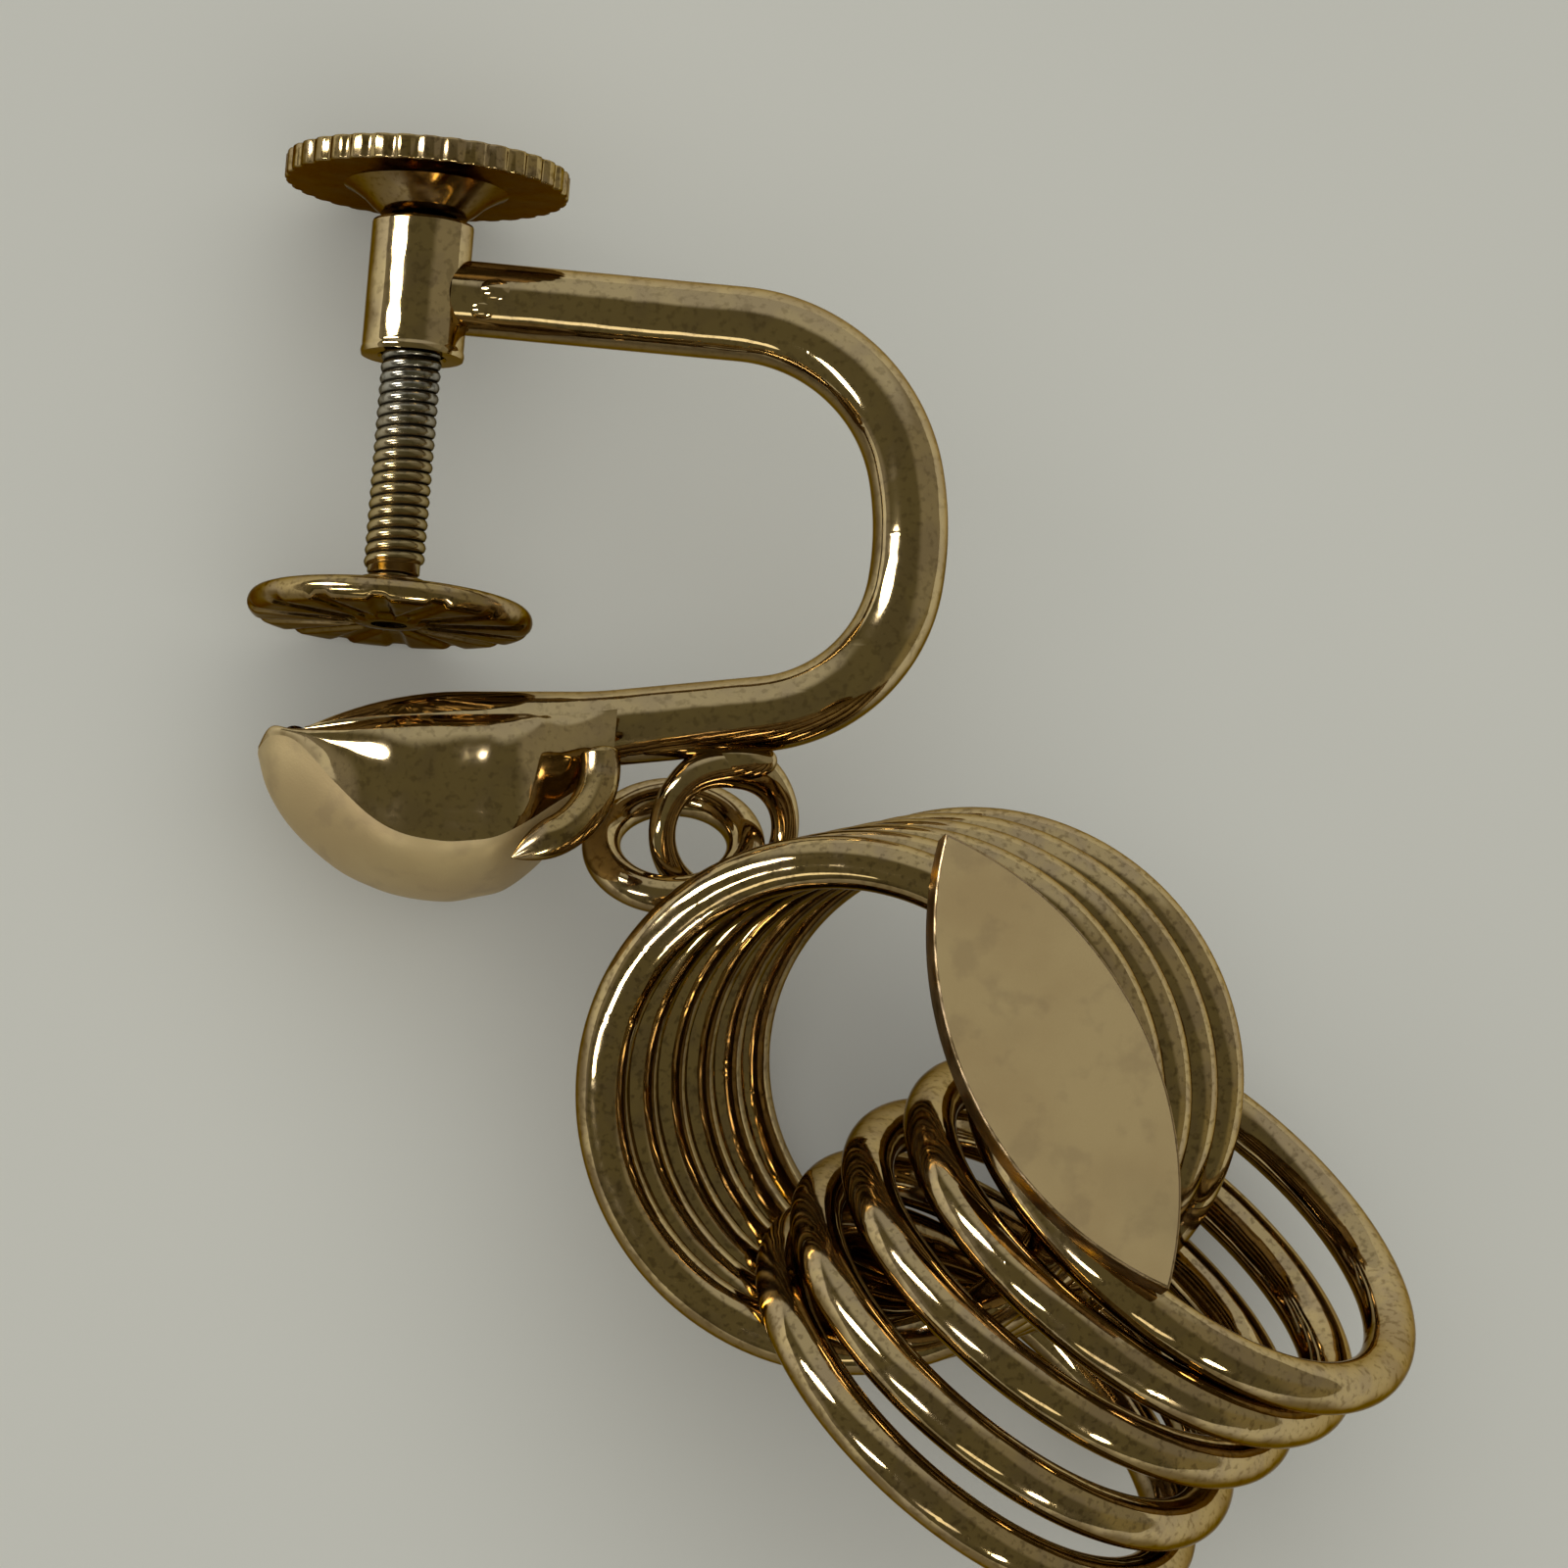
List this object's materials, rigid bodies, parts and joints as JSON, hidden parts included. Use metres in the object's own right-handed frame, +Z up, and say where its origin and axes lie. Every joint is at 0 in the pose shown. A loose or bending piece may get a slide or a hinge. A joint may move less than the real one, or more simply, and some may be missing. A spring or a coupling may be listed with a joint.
{
  "type": "dangle earring",
  "caption": "Screw-back dangle earring: bent wire clamp with hollow satin leaf and a pendant of two interlocked wire coils bridged by a flat pointed plate.",
  "frame": {"origin": "centre of the bounding box on the surface it lies on", "axes": "+Z up from the surface, +Y along the screw toward the thumb disc, +X toward the clamp's bend"},
  "size_m": [0.0218, 0.0252, 0.0099],
  "materials": {
    "polished_gold": "polished gold-filled wire, slightly tarnished",
    "ring_gold": "polished gold-filled wire, slightly tarnished",
    "satin_gold": "satin gold",
    "screw_metal": "plain threaded steel"
  },
  "bodies": {
    "ear_clamp": {"ear_wire": "polished_gold", "front_leaf": "satin_gold", "leaf_stem": "polished_gold", "pendant_ring": "polished_gold", "coil_a_1": "ring_gold", "coil_a_2": "ring_gold", "coil_a_3": "ring_gold", "coil_a_4": "ring_gold", "coil_a_5": "ring_gold", "coil_a_6": "ring_gold", "coil_b_1": "ring_gold", "coil_b_2": "ring_gold", "coil_b_3": "ring_gold", "coil_b_4": "ring_gold", "coil_b_5": "ring_gold", "leaf_plate": "satin_gold"},
    "pad": {"ear_pad": "polished_gold"},
    "screw": {"clamp_screw": "screw_metal", "thumb_disc": "polished_gold"}
  },
  "joints": [
    {"name": "pad_travel", "type": "slide", "parent": "ear_clamp", "child": "pad", "axis": [0, 1, 0], "range_m": [0, 0.0038]},
    {"name": "screw_turn", "type": "hinge", "parent": "pad", "child": "screw", "pos_m": [-0.00836, 0.00834, 0.00258], "axis": [0, 1, 0], "range_deg": [0, 6514.3]}
  ],
  "couplings": [
    {"joint": "screw_turn", "follows": "pad_travel", "rad_per_m": 29920}
  ]
}
